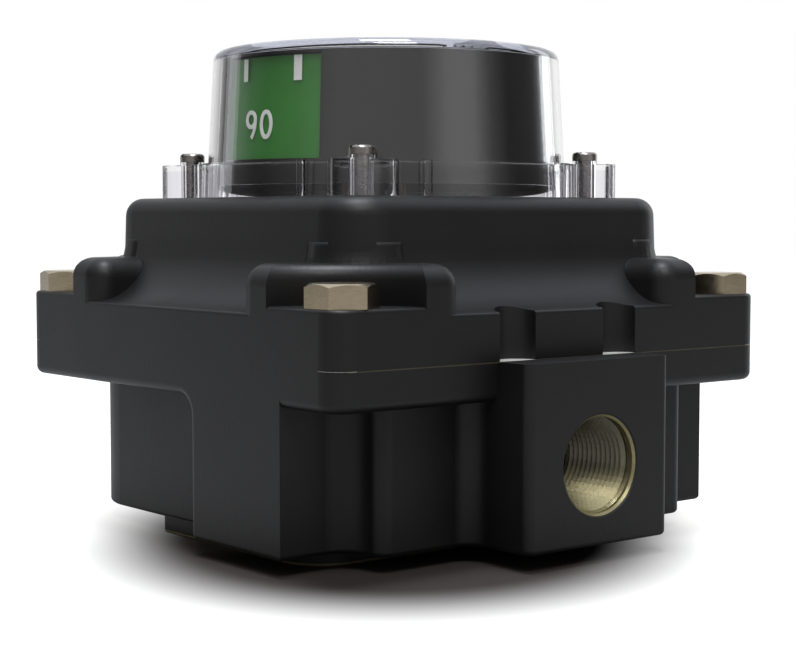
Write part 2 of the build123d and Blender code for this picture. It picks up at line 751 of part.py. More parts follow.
with BuildPart() as outer_earth_screw:
    with BuildSketch(Plane.YZ.offset(panel_half)):
        with Locations(outer_earth):
            Circle(outer_earth_radius)
    extrude(amount=-outer_earth_grip)
    with BuildSketch(Plane.YZ.offset(panel_half)):
        with Locations(outer_earth):
            RegularPolygon(outer_earth_flats / 2, 6, major_radius=False)
    extrude(amount=outer_earth_head)
save(outer_earth_screw, "outer_earth_screw")

# ---- conduit plug -------------------------------------------------------------------------------
# Closes the unused rear entry with a hexagon socket plug sunk below the mouth.
with BuildPart() as conduit_plug:
    plug_face = entry_face - plug_inset
    with BuildSketch(Plane.XZ.offset(-plug_face)):
        with Locations((0, conduit_height)):
            Circle(conduit_radius)
    extrude(amount=plug_length)
    with BuildSketch(Plane.XZ.offset(-plug_face)):
        with Locations((0, conduit_height)):
            RegularPolygon(plug_socket / 2, 6, major_radius=False)
    extrude(amount=plug_length / 2, mode=Mode.SUBTRACT)
save(conduit_plug, "conduit_plug")

# ---- dome ---------------------------------------------------------------------------------------
# Clear moulding: drafted wall, low crown, thick foot ring with a lobe round each screw.
with BuildPart() as dome:
    with BuildSketch(Plane.XY.offset(cover_top)):
        Circle(dome_flange_radius)
        with Locations(*four(dome_place)):
            Circle(dome_lobe)
        valleys = [v for v in vertices() if Vector(v.X, v.Y).length < dome_flange_radius + 1]
        fillet(valleys, lobe_valley)
        with PolarLocations(dome_flange_radius, 4, start_angle=45 - rib_angle):
            Circle(rib_radius)
        with PolarLocations(dome_flange_radius, 4, start_angle=45 + rib_angle):
            Circle(rib_radius)
    extrude(amount=dome_flange_height)
    # raised seat under each screw head
    with Locations(*[(x, y, flange_top_dome) for x, y in four(dome_place)]):
        Cylinder(dome_screw_head_radius, screw_seat_height, align=STAND)
    with BuildSketch(Plane.XZ):
        with BuildLine():
            crown = Bezier(
                (dome_top_radius, dome_rim),
                (dome_top_radius / 2, dome_rim + dome_crown),
                (0, dome_rim + dome_crown),
            )
            Polyline(crown @ 1, (0, cover_top), (dome_foot_radius, cover_top),
                     (dome_foot_radius, flange_top_dome), crown @ 0)
        make_face()
        rim = [v for v in vertices() if v.X > 1 and v.Y > dome_rim - 1]
        fillet(rim, dome_rim_round)
    revolve(axis=Axis.Z)
    with BuildSketch(Plane.XZ):
        Polygon(
            (0, cover_top),
            (dome_inner(cover_top), cover_top),
            (dome_inner(dome_ceiling), dome_ceiling),
            (0, dome_ceiling),
            align=None,
        )
    revolve(axis=Axis.Z, mode=Mode.SUBTRACT)
    with Locations(*[(x, y, cover_top) for x, y in four(dome_place)]):
        Cylinder(dome_screw_radius + gap, screw_seat - cover_top, align=STAND, mode=Mode.SUBTRACT)
save(dome, "dome")

with BuildPart() as dome_seal:
    with BuildSketch(Plane.XZ):
        with Locations((dome_seal_radius, cover_top - dome_seal_depth / 2)):
            RectangleRounded(dome_seal_width - seal_slack, dome_seal_depth, gap)
    revolve(axis=Axis.Z)
save(dome_seal, "dome_seal")

save(pan_screws(four(dome_place), screw_seat, dome_screw_radius,
                screw_seat - cover_top + dome_screw_grip - 1, dome_screw_head_radius,
                dome_screw_head_height), "dome_screws")

# ---- indicator mask -----------------------------------------------------------------------------
# Black cup fixed under the roof of the dome, with two windows opposite each other.
with BuildPart() as indicator_mask:
    with BuildSketch(Plane.XZ):
        roof = dome_ceiling - mask_roof
        Polygon(
            (0, dome_ceiling),
            (mask_outer(dome_ceiling), dome_ceiling),
            (mask_outer(mask_bottom), mask_bottom),
            (mask_outer(mask_bottom) - mask_wall, mask_bottom),
            (mask_outer(roof) - mask_wall, roof),
            (0, roof),
            align=None,
        )
    revolve(axis=Axis.Z)
    for centre in (window_centre, window_centre + 180):
        with BuildSketch(Plane.XZ.rotated((0, 0, centre - window_angle / 2))):
            with Locations((dome_foot_radius, window_bottom)):
                Rectangle(dome_foot_radius / 2, roof - window_bottom, align=(Align.CENTER, Align.MIN))
        revolve(axis=Axis.Z, revolution_arc=window_angle, mode=Mode.SUBTRACT)
save(indicator_mask, "indicator_mask")

# ---- indicator rotor ----------------------------------------------------------------------------
# Drum on the shaft that carries the coloured sectors past the windows.

with BuildPart() as indicator_rotor:
    with BuildSketch(Plane.XZ):
        Polygon(
            (rotor_seat_radius, rotor_top),
            (drum_outer(rotor_top), rotor_top),
            (drum_outer(rotor_bottom), rotor_bottom),
            (drum_outer(rotor_bottom) - rotor_wall, rotor_bottom),
            (drum_outer(rotor_top) - rotor_wall, rotor_top - rotor_wall),
            (rotor_hub_radius, rotor_top - rotor_wall),
            (rotor_hub_radius, shaft_shoulder),
            (small_screw_radius + gap, shaft_shoulder),
            (small_screw_radius + gap, rotor_screw_seat),
            (rotor_seat_radius, rotor_screw_seat),
            align=None,
        )
    revolve(axis=Axis.Z)
    with BuildSketch(Plane.XY.offset(shaft_shoulder)):
        Circle(rotor_seat_radius)
        with Locations((seat_flat, 0)):
            Rectangle(shaft_radius, 3 * shaft_radius, align=(Align.MIN, Align.CENTER),
                      mode=Mode.SUBTRACT)
    extrude(amount=shaft_end - shaft_shoulder, mode=Mode.SUBTRACT)
save(indicator_rotor, "indicator_rotor")

for name, first in (("green_sectors", window_centre), ("red_sectors", window_centre + 90)):
    with BuildPart() as sectors:
        for centre in (first, first + 180):
            with BuildSketch(Plane.XZ.rotated((0, 0, centre - sector_angle / 2))):
                Polygon(
                    (sector_inner(rotor_top), rotor_top),
                    (sector_inner(rotor_top) + sector_thickness, rotor_top),
                    (sector_inner(rotor_bottom) + sector_thickness, rotor_bottom),
                    (sector_inner(rotor_bottom), rotor_bottom),
                    align=None,
                )
            revolve(axis=Axis.Z, revolution_arc=sector_angle)
    save(sectors, name)

save(pan_screws([(0, 0)], rotor_screw_seat, small_screw_radius,
                rotor_screw_seat - shaft_end + rotor_screw_grip - 1, small_head_radius,
                small_head_height), "rotor_screw")
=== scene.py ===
import json
import math

import bmesh
import bpy
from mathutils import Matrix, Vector


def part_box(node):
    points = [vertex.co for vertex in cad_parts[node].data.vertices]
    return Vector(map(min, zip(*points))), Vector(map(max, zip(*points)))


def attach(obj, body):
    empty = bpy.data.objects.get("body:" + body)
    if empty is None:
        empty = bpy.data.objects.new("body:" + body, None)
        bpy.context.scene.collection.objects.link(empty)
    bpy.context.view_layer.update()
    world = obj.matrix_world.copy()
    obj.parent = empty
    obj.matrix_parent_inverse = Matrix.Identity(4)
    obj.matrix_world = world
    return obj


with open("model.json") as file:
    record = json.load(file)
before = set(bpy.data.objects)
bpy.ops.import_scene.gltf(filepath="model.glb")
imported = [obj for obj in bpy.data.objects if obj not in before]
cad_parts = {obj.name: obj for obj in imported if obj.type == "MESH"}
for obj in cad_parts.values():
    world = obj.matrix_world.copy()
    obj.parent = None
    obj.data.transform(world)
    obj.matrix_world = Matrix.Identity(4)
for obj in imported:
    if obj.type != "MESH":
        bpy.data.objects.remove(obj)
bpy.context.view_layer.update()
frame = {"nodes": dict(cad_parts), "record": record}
nodes = frame["nodes"]


# ---- camera and studio ---------------------------------------------------------------------------
# A long lens a little above the middle of the box, looking at the corner between the window side
# and the open conduit entry, on a plain white floor under soft light.
camera_data = bpy.data.cameras.new("camera")
camera_data.lens = 78.5
camera_data.sensor_width = 36.0
camera_data.clip_start = 0.01
camera = bpy.data.objects.new("camera", camera_data)
camera.location = (-0.33766, -0.42279, 0.09365)
camera.rotation_euler = (math.radians(86.29), 0.0, math.radians(-39.0))
bpy.context.scene.collection.objects.link(camera)
bpy.context.scene.camera = camera
bpy.context.scene.view_settings.view_transform = "Standard"


class Value:
    """A number or colour inside a material. Arithmetic on it adds the Math nodes for it."""

    def __init__(self, finish, socket):
        self.finish = finish
        self.socket = socket

    def math(self, operation, *others):
        values = dict(enumerate((self, *others)))
        return self.finish.node("ShaderNodeMath", {"operation": operation}, values)

    def __add__(self, other):
        return self.math("ADD", other)

    def __sub__(self, other):
        return self.math("SUBTRACT", other)

    def __rsub__(self, other):
        return self.finish.node("ShaderNodeMath", {"operation": "SUBTRACT"}, {0: other, 1: self})

    def __mul__(self, other):
        return self.math("MULTIPLY", other)

    def __truediv__(self, other):
        return self.math("DIVIDE", other)

    def __lt__(self, other):
        return self.math("LESS_THAN", other)

    def __gt__(self, other):
        return self.math("GREATER_THAN", other)

    __radd__ = __add__
    __rmul__ = __mul__


class Finish:
    """One procedural finish: a node tree that is filled by a single node-making method."""

    def __init__(self, name, tree=None):
        if tree is None:
            self.material = bpy.data.materials.new(name)
            self.material.use_nodes = True
            tree = self.material.node_tree
        self.tree = tree
        self.tree.nodes.clear()

    def node(self, kind, settings=None, values=None, out=0):
        """Add a node, set it up, fill or link its sockets, and give one of its outputs."""
        made = self.tree.nodes.new(kind)
        for name, setting in (settings or {}).items():
            if name == "stops":
                ramp = made.color_ramp.elements
                for place, (position, colour) in enumerate(setting):
                    stop = ramp[place] if place < 2 else ramp.new(position)
                    stop.position = position
                    stop.color = (*colour, 1.0)
            else:
                setattr(made, name, setting)
        for name, value in (values or {}).items():
            socket = made.inputs[name]
            if isinstance(value, Value):
                self.tree.links.new(value.socket, socket)
            elif socket.type == "RGBA" and len(value) == 3:
                socket.default_value = (*value, 1.0)
            else:
                socket.default_value = value
        return Value(self, made.outputs[out]) if made.outputs else None

    def place(self):
        """The point of the surface in the box's own frame, in metres."""
        return self.node("ShaderNodeTexCoord", out="Object")

    def parts(self, vector):
        """The three numbers of a vector."""
        return [self.node("ShaderNodeSeparateXYZ", None, {0: vector}, out) for out in range(3)]

    def noise(self, scale, detail=2.0, rough=0.5):
        """Grain or cloud, from 0 to 1, at so many waves to the metre."""
        values = {"Vector": self.place(), "Scale": scale, "Detail": detail, "Roughness": rough}
        return self.node("ShaderNodeTexNoise", None, values)

    def mix(self, share, first, second):
        """Blend two colours."""
        settings = {"data_type": "RGBA"}
        return self.node("ShaderNodeMix", settings, {0: share, 6: first, 7: second}, out=2)

    def bump(self, height, distance, strength):
        """A skin that rises and falls with a height, by a distance in metres."""
        values = {"Height": height, "Distance": distance, "Strength": strength}
        return self.node("ShaderNodeBump", None, values)

    def shade(self, colour, roughness, **others):
        """Close the tree with one surface shader and give the material."""
        values = {"Base Color": colour, "Roughness": roughness}
        values.update({name.replace("_", " "): value for name, value in others.items()})
        surface = self.node("ShaderNodeBsdfPrincipled", None, values)
        self.node("ShaderNodeOutputMaterial", None, {"Surface": surface})
        return self.material


# The studio round the box: a white wall behind it, a grey room in front with a lighter panel to
# the right, and a bright bluish ceiling. Only mirrored rays see the room. Its levels go by the
# angle in degrees from the front, positive to the right.
world = bpy.data.worlds.new("studio")
bpy.context.scene.world = world
world.use_nodes = True
sky = Finish("studio", world.node_tree)
ahead = camera.rotation_euler[2]
east, north, up = sky.parts(sky.node("ShaderNodeTexCoord", out="Generated"))
to_right = east * math.cos(ahead) + north * math.sin(ahead)
to_front = east * math.sin(ahead) - north * math.cos(ahead)
turn = to_right.math("ARCTAN2", to_front) / (2 * math.pi) + 0.5
room = [
    (-180, 1.0), (-160, 0.9), (-132, 0.20), (-84, 0.08), (-58, 0.22), (-34, 0.45), (24, 0.42),
    (42, 0.85), (58, 0.82), (72, 0.28), (86, 0.08), (112, 0.08), (132, 0.4), (152, 1.0), (180, 1.0),
]
panorama = sky.node(
    "ShaderNodeValToRGB",
    {"stops": [(angle / 360 + 0.5, (level, level, level)) for angle, level in room]}, {0: turn},
)
ceiling = sky.node("ShaderNodeMapRange", {"interpolation_type": "SMOOTHSTEP"},
                   {"Value": up, "From Min": 0.35, "From Max": 0.8})
mirrored_room = sky.mix(ceiling, panorama, (1.2, 1.26, 1.38))
seen = sky.node("ShaderNodeLightPath", out="Is Camera Ray")
through = sky.node("ShaderNodeLightPath", out="Is Transmission Ray")
mirrored = sky.node("ShaderNodeLightPath", out="Glossy Depth") > 0.5
spread = sky.node("ShaderNodeLightPath", out="Diffuse Depth") > 0.5
straight_on = through * (1.0 - mirrored) * (1.0 - spread)
soft_light = sky.node("ShaderNodeBackground", None, {"Color": (1.0, 0.98, 0.96), "Strength": 0.30})
white_wall = sky.node("ShaderNodeBackground", None, {"Color": (1.0, 1.0, 1.0), "Strength": 1.0})
mirror_wall = sky.node("ShaderNodeBackground", None, {"Color": mirrored_room, "Strength": 1.0})
lit = sky.node("ShaderNodeMixShader", None, {0: mirrored, 1: soft_light, 2: mirror_wall})
wall_seen = (seen + straight_on).math("MINIMUM", 1.0)
all_rays = sky.node("ShaderNodeMixShader", None, {0: wall_seen, 1: lit, 2: white_wall})
sky.node("ShaderNodeOutputWorld", None, {"Surface": all_rays})

# White paper floor. An oval under the box is painted dark, a painted shadow on top of the shadow
# that the lamps cast, and beyond it the floor glows plain white so that no horizon shows.
floor_mesh = bpy.data.meshes.new("studio_floor")
reach = 3.0
oval_back, oval_length = 0.030, 0.115
oval_right, oval_width = 0.002, 0.090
painted_shadow_full, painted_shadow_end = 0.66, 1.18
floor_corners = [(-reach, -reach, 0), (reach, -reach, 0), (reach, reach, 0), (-reach, reach, 0)]
floor_mesh.from_pydata(floor_corners, [], [(0, 1, 2, 3)])
floor = bpy.data.objects.new("studio_floor", floor_mesh)
bpy.context.scene.collection.objects.link(floor)
paper = Finish("white_paper")
floor_x, floor_y, _ = paper.parts(paper.place())
behind = floor_y * math.cos(ahead) - floor_x * math.sin(ahead)
beside = floor_x * math.cos(ahead) + floor_y * math.sin(ahead)
long_way = (behind + oval_back) / oval_length
short_way = (beside - oval_right) / oval_width
away = (long_way * long_way + short_way * short_way).math("SQRT")
glow_past_painted_shadow = paper.node("ShaderNodeMapRange", {"interpolation_type": "SMOOTHSTEP"},
                  {"Value": away, "From Min": painted_shadow_full, "From Max": painted_shadow_end})
# Painted shadow: the paper is dark brown inside the oval and pale grey beyond it, and it glows only
# outside the oval.
paper_tone_and_painted_shadow = paper.mix(glow_past_painted_shadow, (0.048, 0.042, 0.040), (0.34, 0.34, 0.34))
paper_surface = paper.node("ShaderNodeBsdfDiffuse", None, {"Color": paper_tone_and_painted_shadow})
paper_camera = paper.node("ShaderNodeLightPath", out="Is Camera Ray")
paper_mirror = paper.node("ShaderNodeLightPath", out="Is Glossy Ray")
paper_seen = (paper_camera + paper_mirror * 0.25).math("MINIMUM", 1.0)
paper_glow = paper.node("ShaderNodeEmission", None,
                        {"Color": (1.0, 1.0, 1.0), "Strength": glow_past_painted_shadow * paper_seen})
paper_end = paper.node("ShaderNodeAddShader", None, {0: paper_surface, 1: paper_glow})
paper.node("ShaderNodeOutputMaterial", None, {"Surface": paper_end})
floor_mesh.materials.append(paper.material)


def soft_box(name, place, target, width, height, power, colour):
    """A rectangular studio light aimed at a point of the box."""
    lamp = bpy.data.lights.new(name, "AREA")
    lamp.shape = "RECTANGLE"
    lamp.size = width
    lamp.size_y = height
    lamp.energy = power
    lamp.color = colour
    stand = bpy.data.objects.new(name, lamp)
    stand.location = place
    stand.rotation_euler = (Vector(target) - Vector(place)).to_track_quat("-Z", "Y").to_euler()
    bpy.context.scene.collection.objects.link(stand)


soft_box("top_light", (-0.10, -0.10, 1.25), (0, 0, 0.05), 0.35, 0.35, 14.0, (0.90, 0.94, 1.0))
soft_box("front_light", (-0.45, -0.75, 1.1), (0, 0, 0.05), 0.5, 0.5, 8.0, (1.0, 0.98, 0.95))
soft_box("left_light", (-0.45, 1.1, 0.35), (0, 0, 0.06), 0.3, 0.9, 0.8, (0.95, 0.97, 1.0))
soft_box("right_light", (1.2, 0.0, 0.35), (0, 0, 0.06), 0.3, 0.9, 2.0, (0.95, 0.97, 1.0))

# ---- castings ------------------------------------------------------------------------------------
# Base and cover are cast aluminium under satin black epoxy powder, which flows into a faint orange
# peel. Bores and pad are masked off and keep their yellow passivation. The joint is milled bright,
# and a thin line of it shows at the flange's edge.
thread_pitch = 0.0254 / 14
entry = next(m for m in frame["record"]["mounts"] if m["name"] == "front_conduit_entry")
entry_height = entry["pos_m"][2]
entry_radius = entry["dims"]["r_mm"] / 1000
base_low, base_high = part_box("base_housing")
flange_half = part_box("cover")[1][0]
bore_margin = 0.0006
boss_depth_start = 0.055
pad_edge = 0.0009
joint_skin = 0.00004
line_height = 0.0003
line_reach = 0.0005
line_strength = 0.22
powder_shine = 0.26


def epoxy_powder(name, bare=None):
    """Black epoxy powder coat, with bare(coat, x, y, z) masking the machined metal under it."""
    coat = Finish(name)
    x, y, z = coat.parts(coat.place())
    cloud = coat.noise(32.0, 4.0, 0.6)
    peel = coat.noise(850.0, 2.0, 0.45)
    grit = coat.noise(5200.0, 1.0, 0.5)
    black = coat.mix(cloud, (0.0036, 0.0036, 0.0039), (0.0064, 0.0061, 0.0058))
    dull = 0.36 + cloud * 0.14 + grit * 0.04
    skin = coat.bump(peel + grit * 0.15, 0.00012, 0.35)
    if bare is None:
        return coat.shade(black, dull, Normal=skin, Specular_IOR_Level=powder_shine)
    metal, bright = bare(coat, x, y, z)
    stain = coat.noise(140.0, 3.0, 0.6)
    passivated = coat.mix(stain, (0.15, 0.13, 0.055), (0.34, 0.31, 0.17))
    milled = coat.mix(stain, (0.74, 0.74, 0.68), (0.90, 0.90, 0.86))
    colour = coat.mix(metal, black, coat.mix(bright, passivated, milled))
    rough = dull * (1.0 - metal) + metal * 0.34
    return coat.shade(
        colour, rough, Metallic=metal * 0.6, Normal=skin, Specular_IOR_Level=powder_shine
    )


def machined_base(coat, x, y, z):
    """Where the base shows bare metal, and where that is the milled joint face."""
    far_x = x.math("ABSOLUTE")
    far_y = y.math("ABSOLUTE")
    across = z - entry_height
    from_axis = (x * x + across * across).math("SQRT")
    bore = (from_axis < entry_radius + bore_margin) * (far_y > boss_depth_start)
    pad = z < base_low[2] + pad_edge
    inside = (far_x < flange_half) * (far_y < flange_half)
    joint = (z > base_high[2] - joint_skin) * inside
    at_face = (far_y > flange_half - line_reach) * (far_y < flange_half + line_reach)
    edge = (z > base_high[2] - line_height) * at_face * (far_x < flange_half - line_reach)
    return (bore + pad + joint + edge * line_strength).math("MINIMUM", 1.0), joint


def put_finish(node, material):
    """Give a CAD node its finish in every material slot."""
    for slot in nodes[node].material_slots:
        slot.material = material


put_finish("base_housing", epoxy_powder("base_epoxy", machined_base))
put_finish("cover", epoxy_powder("cover_epoxy"))

# ---- cover corner fillets ------------------------------------------------------------------------
# The cast fillet at the foot of the cover's body runs on round each corner of the body, and dies
# into the top of the bolt ear there. It is the same casting under the same powder coat. Each piece
# is a closed strip whose profile starts and ends a millimetre inside the body.
fillet_radius = 0.0186
fillet_top = 0.0875
fillet_foot = 0.0790
body_half = 0.06256
body_corner = 0.0145
fillet_start = 0.0435
fillet_root = -0.001
fillet_steps = 8
corner_step = 9
corner_middle = body_half - body_corner
profile = [(fillet_root, fillet_top)]
for step in range(fillet_steps + 1):
    height = fillet_top + (fillet_foot - fillet_top) * step / fillet_steps
    drop = fillet_top - height
    profile.append((fillet_radius - math.sqrt(fillet_radius**2 - drop**2), height))
profile.append((fillet_root, fillet_foot))
ring = len(profile)
stations = [(fillet_start, body_half, 90.0)]
stations += [
    (corner_middle + body_corner * math.cos(math.radians(turn)),
     corner_middle + body_corner * math.sin(math.radians(turn)), turn)
    for turn in range(90, -1, -corner_step)
]
stations.append((body_half, fillet_start, 0.0))
fillet_points = []
fillet_faces = []
for quarter in range(4):
    start = len(fillet_points)
    spin = math.radians(90 * quarter)
    for x, y, turn in stations:
        for out, height in profile:
            ax = x + out * math.cos(math.radians(turn))
            ay = y + out * math.sin(math.radians(turn))
            fillet_points.append((ax * math.cos(spin) - ay * math.sin(spin),
                                  ax * math.sin(spin) + ay * math.cos(spin), height))
    for station in range(len(stations) - 1):
        for edge in range(ring):
            here = start + station * ring + edge
            there = start + station * ring + (edge + 1) % ring
            fillet_faces.append((here, there, there + ring, here + ring))
    fillet_faces.append(tuple(start + edge for edge in reversed(range(ring))))
    fillet_faces.append(tuple(start + (len(stations) - 1) * ring + edge for edge in range(ring)))
fillet_mesh = bpy.data.meshes.new("cover_corner_fillets")
fillet_mesh.from_pydata(fillet_points, [], fillet_faces)
for face in fillet_mesh.polygons:
    face.use_smooth = len(face.vertices) == 4 and face.index % ring in range(1, ring - 2)
corner_fillets = bpy.data.objects.new("cover_corner_fillets", fillet_mesh)
bpy.context.scene.collection.objects.link(corner_fillets)
fillet_mesh.materials.append(nodes["cover"].material_slots[0].material)
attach(corner_fillets, "housing")

# ---- conduit thread ------------------------------------------------------------------------------
# The straight wound thread of the front entry, cut into passivated aluminium: one V ridge along the
# bore wall, from just inside the mouth to the end of the cut. Its upper half is painted darker, a
# painted shade.
thread_depth = 0.0011
thread_start = base_low[1] + 0.0012
thread_length = 0.026
thread_foot = 0.98
root_gap = 0.00003
faded_share = 0.05
steps = 48
turns = int(thread_length / thread_pitch)
ridge_points = []
ridge_faces = []
for step in range(turns * steps + 1):
    angle = 2 * math.pi * step / steps
    along = thread_start + thread_pitch * step / steps
    fade = min(1.0, step / steps, (turns * steps - step) / steps)
    root = entry_radius - root_gap
    crest = root - thread_depth * max(fade, faded_share)
    for radius, shift in (
        (root, 0.0), (crest, 0.5 * thread_pitch), (root, thread_foot * thread_pitch)
    ):
        ridge_points.append(
            (radius * math.sin(angle), along + shift, entry_height + radius * math.cos(angle))
        )
    if step:
        now = 3 * step
        for edge in range(3):
            after = (edge + 1) % 3
            ridge_faces.append((now - 3 + edge, now - 3 + after, now + after, now + edge))
ridge_faces.append((0, 1, 2))
last = len(ridge_points) - 3
ridge_faces.append((last + 2, last + 1, last))
thread_mesh = bpy.data.meshes.new("conduit_thread")
thread_mesh.from_pydata(ridge_points, [], ridge_faces)
thread_mesh.validate()
thread = bpy.data.objects.new("conduit_thread", thread_mesh)
bpy.context.scene.collection.objects.link(thread)
cut = Finish("passivated_thread")
tarnish = cut.noise(160.0, 3.0, 0.6)
_, _, cut_z = cut.parts(cut.place())
# Painted shade: a darker copy of the olive tone covers the thread from 3 mm under the bore's axis
# upward, fading out by 9 mm under it.
below_painted_shade = cut.node("ShaderNodeMapRange", None, {
    "Value": cut_z, "From Min": entry_height - 0.003, "From Max": entry_height - 0.009,
})
olive_and_painted_shade = cut.mix(tarnish, (0.24, 0.20, 0.09), (0.50, 0.46, 0.27))
olive_and_painted_shade = cut.mix(below_painted_shade, cut.mix(tarnish, (0.07, 0.06, 0.035), (0.16, 0.145, 0.10)), olive_and_painted_shade)
tool_marks = cut.bump(cut.noise(2500.0), 0.00005, 0.3)
thread_mesh.materials.append(
    cut.shade(olive_and_painted_shade, 0.26 + tarnish * 0.15, Metallic=0.6, Normal=tool_marks)
)
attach(thread, "housing")

# ---- steel fasteners -----------------------------------------------------------------------------
# Rolled stainless screws and bolts, slightly warm, with the fine marks of heading and handling.


def steel(name, dark, light, rough):
    """A bare steel, its brightness clouded and its surface lightly marked."""
    metal = Finish(name)
    cloud = metal.noise(90.0, 4.0, 0.65)
    marks = metal.noise(700.0, 3.0, 0.7)
    tone = metal.mix(cloud, dark, light)
    skin = metal.bump(marks, 0.00008, 0.25)
    return metal.shade(tone, rough + marks * 0.16, Metallic=1.0, Normal=skin)


stainless = steel("stainless", (0.23, 0.185, 0.12), (0.43, 0.36, 0.25), 0.15)
zinc = steel("zinc_plate", (0.42, 0.43, 0.44), (0.62, 0.63, 0.64), 0.28)
for node in ("cover_bolts", "outer_earth_screw", "rotor_screw", "shaft"):
    put_finish(node, stainless)
# The dome screws take a darker copy of the stainless, painted shade for heads that look dark
# against the light.
put_finish("dome_screws", steel("stainless_painted_dark", (0.16, 0.15, 0.14), (0.30, 0.28, 0.26), 0.2))
for node in ("switch_plate", "switch_plate_screws", "switch_screws", "terminal_screws",
             "terminal_strip_screws", "inner_earth_screw", "cam_set_screws", "open_target",
             "closed_target", "shaft_clip"):
    put_finish(node, zinc)
put_finish("conduit_plug", steel("plug_steel", (0.20, 0.20, 0.19), (0.34, 0.33, 0.31), 0.38))
bronze = steel("bush_bronze", (0.36, 0.20, 0.08), (0.52, 0.32, 0.14), 0.3)
for node in ("lower_bush", "upper_bush"):
    put_finish(node, bronze)

# ---- seals and leads -----------------------------------------------------------------------------
# Nitrile rubber rings and the sheath of the switch leads: dull black with a fine moulded grain.
nitrile = Finish("nitrile")
bloom = nitrile.noise(300.0, 3.0, 0.6)
nitrile_black = nitrile.mix(bloom, (0.012, 0.012, 0.012), (0.026, 0.026, 0.025))
rubber = nitrile.shade(nitrile_black, 0.62 + bloom * 0.2, Normal=nitrile.bump(bloom, 0.0001, 0.3))
for node in ("cover_seal", "dome_seal", "lower_shaft_seal", "upper_shaft_seal", "open_switch_lead",
             "closed_switch_lead"):
    put_finish(node, rubber)

# ---- inner plastic parts -------------------------------------------------------------------------
# Switch bodies, cams, terminal strip and the bare drum: moulded plastic with a spark-eroded grain.


def moulded(name, dark, light, rough):
    """Moulded plastic, faintly mottled, with the fine grain of its tool."""
    plastic = Finish(name)
    mottle = plastic.noise(60.0, 3.0, 0.5)
    texture = plastic.noise(1400.0, 2.0, 0.5)
    tone = plastic.mix(mottle, dark, light)
    return plastic.shade(tone, rough + texture * 0.1, Normal=plastic.bump(texture, 0.00006, 0.3))


for node in ("open_switch", "closed_switch"):
    put_finish(node, moulded("switch_blue", (0.02, 0.06, 0.17), (0.03, 0.08, 0.21), 0.42))
for node in ("open_cam", "closed_cam"):
    put_finish(node, moulded("cam_ivory", (0.58, 0.55, 0.46), (0.68, 0.65, 0.56), 0.4))
terminal_grey = moulded("terminal_grey", (0.16, 0.165, 0.17), (0.21, 0.215, 0.22), 0.45)
put_finish("terminal_strip", terminal_grey)
drum_black = moulded("drum_black", (0.010, 0.010, 0.010), (0.016, 0.016, 0.016), 0.4)
put_finish("indicator_rotor", drum_black)

# ---- indicator mask ------------------------------------------------------------------------------
# Glossy black cup under the dome, with a pale ring painted on the outer part of its top, painted
# light for the brightness seen through the dome's crown. The polish mirrors the studio in long
# upright streaks.
gloss = Finish("mask_gloss")
sweep = gloss.noise(18.0, 2.0, 0.5)
speck = gloss.noise(1800.0, 1.0, 0.5)
ink = gloss.mix(sweep, (0.006, 0.0055, 0.005), (0.010, 0.009, 0.008))
mask_x, mask_y, mask_z = gloss.parts(gloss.place())
from_middle = (mask_x * mask_x + mask_y * mask_y).math("SQRT")
painted_crown_light_skin = 0.00005
painted_crown_light_inner = 0.040
# Painted light: the outer ring of the cup's top is pale and rough, for the brightness seen through
# the crown.
painted_crown_light = (mask_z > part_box("indicator_mask")[1][2] - painted_crown_light_skin) * (from_middle > painted_crown_light_inner)
put_finish("indicator_mask", gloss.shade(
    gloss.mix(painted_crown_light, ink, (0.52, 0.52, 0.58)), 0.10 + sweep * 0.06 + painted_crown_light * 0.4,
    Normal=gloss.bump(speck, 0.00002, 0.15),
))

# ---- coloured sectors ----------------------------------------------------------------------------
# Printed plastic sectors on the drum: green shows while the valve is open, red while it is closed.


def printed(name, dark, light):
    """Satin printed plastic with a faint roller texture."""
    ink_film = Finish(name)
    cloud = ink_film.noise(45.0, 4.0, 0.6)
    roller = ink_film.noise(1200.0, 2.0, 0.6)
    tone = ink_film.mix(cloud, dark, light)
    return ink_film.shade(tone, 0.30 + roller * 0.12, Normal=ink_film.bump(roller, 0.00005, 0.25))


put_finish("green_sectors", printed("sector_green", (0.020, 0.170, 0.014), (0.030, 0.215, 0.022)))
put_finish("red_sectors", printed("sector_red", (0.42, 0.016, 0.012), (0.52, 0.024, 0.018)))

# ---- sector marks --------------------------------------------------------------------------------
# White marks screen-printed on the coloured sectors: a narrow and a wide scale stroke, and the
# valve's angle in plain figures, 90 while it is open and 0 while it is closed.
sector_low, sector_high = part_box("green_sectors")
sector_rims = {}
for vertex in nodes["green_sectors"].data.vertices:
    spot = nodes["green_sectors"].matrix_world @ vertex.co
    level = "top" if spot.z > (sector_low[2] + sector_high[2]) / 2 else "foot"
    sector_rims[level] = max(sector_rims.get(level, 0.0), math.hypot(spot.x, spot.y))
figure_height = 0.0073
figure_width = 0.0039
figure_gap = 0.0026
figure_level = 0.1208
stroke = 0.0012
ink_depth = 0.00008
figure_turn = math.radians(3.0)
# (degrees from the window's middle, width, lower end, upper end) of the two scale strokes
scale_strokes = ((-10.4, 0.0019, 0.1335, 0.1400), (13.6, 0.0026, 0.1330, 0.1402))
stroke_steps = 4


def sector_radius(height):
    """Radius of the marks at a height. It runs 0.2 to 0.7 mm outside the drafted sectors."""
    share = (height - sector_low[2]) / (sector_high[2] - sector_low[2])
    return sector_rims["foot"] + share * (sector_rims["top"] - sector_rims["foot"])


def figure(digit):
    """Centre line of a figure, as (across, up) points from its middle."""
    turns = [math.radians(angle) for angle in range(0, 361, 15)]
    if digit == "0":
        return [(figure_width / 2 * math.cos(t), figure_height / 2 * math.sin(t)) for t in turns]
    bowl = 0.29 * figure_height
    middle = figure_height / 2 - bowl
    line = [(figure_width / 2 * math.cos(t), middle + bowl * math.sin(t)) for t in turns]
    tail = [(0.49, 0.06), (0.45, -0.10), (0.36, -0.26), (0.22, -0.40), (0.04, -0.52)]
    return line + [(across * figure_width, up * figure_height) for across, up in tail]


